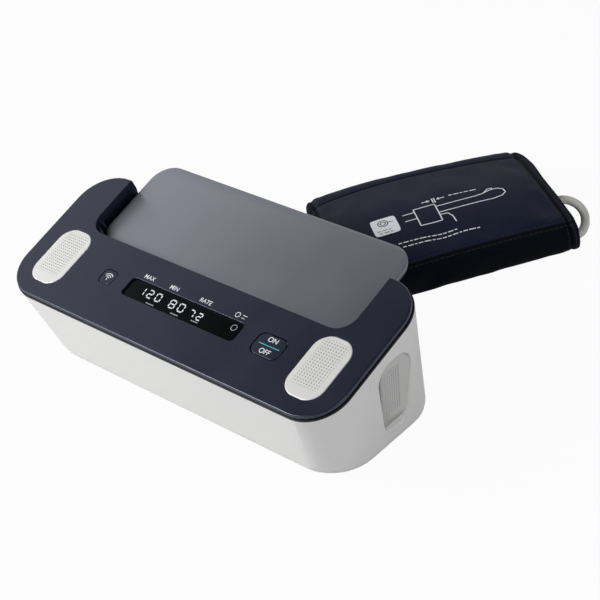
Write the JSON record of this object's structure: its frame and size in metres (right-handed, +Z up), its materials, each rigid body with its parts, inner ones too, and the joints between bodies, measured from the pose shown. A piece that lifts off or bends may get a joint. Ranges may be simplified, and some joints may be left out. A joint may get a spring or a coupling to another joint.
{
  "type": "blood_pressure_monitor",
  "caption": "Desktop blood pressure monitor with hand electrodes, flip-up stand panel, display, two buttons, and a folded arm cuff on a coiled air tube that unplugs.",
  "frame": {"origin": "middle of the monitor's footprint, on the surface that its feet stand on", "axes": "+X to the user's right, +Y to the rear, towards the cuff, +Z up"},
  "size_m": [0.2818, 0.3052, 0.0847],
  "materials": {
    "housing_white": "satin",
    "cover_navy": "satin",
    "panel_grey": "satin",
    "window_black": "polished",
    "lcd": "matte",
    "button_navy": "satin",
    "electrode": "satin",
    "steel": "satin",
    "rubber": "matte",
    "board": "satin",
    "socket_black": "matte",
    "inner_plastic": "satin",
    "hose": "satin",
    "battery": "gloss",
    "cuff_cloth": "matte",
    "hook_tape": "matte",
    "bladder": "matte",
    "tube_grey": "satin",
    "plug_grey": "satin"
  },
  "bodies": {
    "monitor": {"lower_housing": "housing_white", "lip_frame": "cover_navy", "top_cover": "cover_navy", "display_window": "window_black", "display_module": "lcd", "top_electrode_left": "electrode", "top_electrode_right": "electrode", "side_electrode_left": "electrode", "side_electrode_right": "electrode", "panel_bumpers": "rubber", "main_board": "board", "button_switches": "steel", "pressure_sensor": "socket_black", "electrode_leads": "steel", "board_screws": "steel", "power_board": "board", "dc_jack": "socket_black", "air_jack": "inner_plastic", "pump_motor": "steel", "pump_head": "inner_plastic", "pump_cradle": "rubber", "release_valve": "inner_plastic", "inner_hoses": "hose", "battery_contacts": "steel", "battery_1": "battery", "battery_2": "battery", "battery_3": "battery", "battery_4": "battery", "feet": "rubber", "housing_screws": "steel"},
    "start_button": {"start_button": "button_navy"},
    "connection_button": {"connection_button": "button_navy"},
    "panel": {"stand_panel": "panel_grey", "panel_backing": "cover_navy", "hinge_pins": "steel"},
    "battery_cover": {"battery_cover": "housing_white"},
    "cuff": {"cuff_sleeve": "cuff_cloth", "cuff_bladder": "bladder", "cuff_port": "inner_plastic", "cuff_bar": "steel", "hook_patch": "hook_tape", "tube_cuff_run": "tube_grey", "tube_coil": "tube_grey", "tube_plug_run": "tube_grey", "tube_tie": "rubber", "air_plug": "plug_grey"}
  },
  "joints": [
    {"name": "start_press", "type": "slide", "parent": "monitor", "child": "start_button", "axis": [0, 0.279, -0.9603], "range_m": [0, 0.0008], "stiffness_N_per_m": 900, "springref_m": -0.0006},
    {"name": "connection_press", "type": "slide", "parent": "monitor", "child": "connection_button", "axis": [0, 0.279, -0.9603], "range_m": [0, 0.0008], "stiffness_N_per_m": 900, "springref_m": -0.0006},
    {"name": "panel_hinge", "type": "hinge", "parent": "monitor", "child": "panel", "pos_m": [0, 0.01201, 0.06385], "axis": [1, 0, 0], "range_deg": [0, 60]},
    {"name": "battery_cover_hinge", "type": "hinge", "parent": "monitor", "child": "battery_cover", "pos_m": [0, -0.0175, 0.0014], "axis": [-1, 0, 0], "range_deg": [0, 80]},
    {"name": "cuff_carry", "type": "slide", "parent": "monitor", "child": "cuff", "axis": [0, 1, 0], "range_m": [0, 0.06]}
  ]
}
